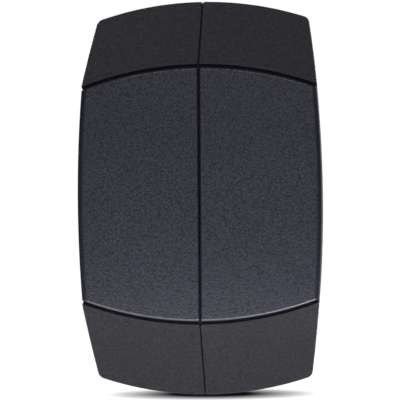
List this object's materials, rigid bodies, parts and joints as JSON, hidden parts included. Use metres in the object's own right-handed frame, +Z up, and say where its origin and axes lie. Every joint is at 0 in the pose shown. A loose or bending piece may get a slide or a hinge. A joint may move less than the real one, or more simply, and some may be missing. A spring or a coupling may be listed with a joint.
{
  "type": "pedestrian signal head",
  "caption": "Black signal head with two hooded round lamps on hinged doors, and a faceted rear casing in two halves under grained covers.",
  "frame": {"origin": "centre of the lower mounting bush's seat face, on the vertical axis through both bushes", "axes": "+Z up, lamps face -Y, rear casing faces +Y, +X is the hinge side"},
  "size_m": [0.302, 0.352, 0.501],
  "materials": {
    "casing_black": "moulded polycarbonate, fine satin",
    "grained_black": "moulded polycarbonate, leather-like grain",
    "frame_black": "moulded polycarbonate, satin",
    "matt_black": "dull black, anti-glare",
    "seal_rubber": "foam and solid rubber",
    "clear_lens": "clear polycarbonate",
    "red_diffuser": "red tinted polycarbonate",
    "green_diffuser": "green tinted polycarbonate",
    "cup_grey": "grey polycarbonate",
    "circuit_board": "solder mask",
    "led_epoxy": "clear epoxy",
    "connector_white": "natural nylon",
    "bush_black": "glass-filled nylon",
    "nut_metal": "die cast",
    "terminal_grey": "grey nylon",
    "driver_white": "white polycarbonate",
    "steel": "stainless steel, zinc-plated inside"
  },
  "bodies": {
    "housing": {"cover_screws": "steel", "driver_board": "circuit_board", "driver_case": "driver_white", "driver_lid": "driver_white", "front_frame": "frame_black", "hinge_pins": "steel", "latch_keepers": "steel", "lower_bush_nut": "nut_metal", "lower_mount_bush": "bush_black", "rail_screws": "steel", "rear_cover_left": "grained_black", "rear_cover_right": "grained_black", "rear_shell_left": "casing_black", "rear_shell_right": "casing_black", "seam_bolts": "steel", "seam_gasket": "seal_rubber", "seam_nuts": "steel", "shell_gasket": "seal_rubber", "shell_screws": "steel", "terminal_blocks": "terminal_grey", "terminal_end_stops": "terminal_grey", "terminal_screws": "steel", "upper_bush_nut": "nut_metal", "upper_mount_bush": "bush_black", "vent_plug": "bush_black", "wiring_rail": "steel"},
    "upper_lamp": {"upper_diffuser": "red_diffuser", "upper_door": "frame_black", "upper_door_seal": "seal_rubber", "upper_lamp_connector": "connector_white", "upper_lamp_cup": "cup_grey", "upper_lamp_screws": "steel", "upper_led_board": "circuit_board", "upper_leds": "led_epoxy", "upper_lens": "clear_lens", "upper_lens_gasket": "seal_rubber", "upper_symbol_mask": "matt_black", "upper_visor": "matt_black", "upper_visor_screws": "steel"},
    "lower_lamp": {"lower_diffuser": "green_diffuser", "lower_door": "frame_black", "lower_door_seal": "seal_rubber", "lower_lamp_connector": "connector_white", "lower_lamp_cup": "cup_grey", "lower_lamp_screws": "steel", "lower_led_board": "circuit_board", "lower_leds": "led_epoxy", "lower_lens": "clear_lens", "lower_lens_gasket": "seal_rubber", "lower_symbol_mask": "matt_black", "lower_visor": "matt_black", "lower_visor_screws": "steel"},
    "upper_outer_latch": {"upper_latch_outer_knob": "frame_black", "upper_latch_outer_pawl": "steel"},
    "upper_inner_latch": {"upper_latch_inner_knob": "frame_black", "upper_latch_inner_pawl": "steel"},
    "lower_outer_latch": {"lower_latch_outer_knob": "frame_black", "lower_latch_outer_pawl": "steel"},
    "lower_inner_latch": {"lower_latch_inner_knob": "frame_black", "lower_latch_inner_pawl": "steel"}
  },
  "joints": [
    {"name": "upper_door_hinge", "type": "hinge", "parent": "housing", "child": "upper_lamp", "pos_m": [0.14, -0.0405, 0.3675], "axis": [0, 0, 1], "range_deg": [0, 110]},
    {"name": "lower_door_hinge", "type": "hinge", "parent": "housing", "child": "lower_lamp", "pos_m": [0.14, -0.0405, 0.1335], "axis": [0, 0, 1], "range_deg": [0, 110]},
    {"name": "upper_outer_latch_turn", "type": "hinge", "parent": "upper_lamp", "child": "upper_outer_latch", "pos_m": [-0.10881, -0.068, 0.44177], "axis": [0, 1, 0], "range_deg": [0, 90]},
    {"name": "upper_inner_latch_turn", "type": "hinge", "parent": "upper_lamp", "child": "upper_inner_latch", "pos_m": [-0.11961, -0.068, 0.2865], "axis": [0, -1, 0], "range_deg": [0, 90]},
    {"name": "lower_outer_latch_turn", "type": "hinge", "parent": "lower_lamp", "child": "lower_outer_latch", "pos_m": [-0.10881, -0.068, 0.05923], "axis": [0, -1, 0], "range_deg": [0, 90]},
    {"name": "lower_inner_latch_turn", "type": "hinge", "parent": "lower_lamp", "child": "lower_inner_latch", "pos_m": [-0.11961, -0.068, 0.2145], "axis": [0, 1, 0], "range_deg": [0, 90]}
  ]
}
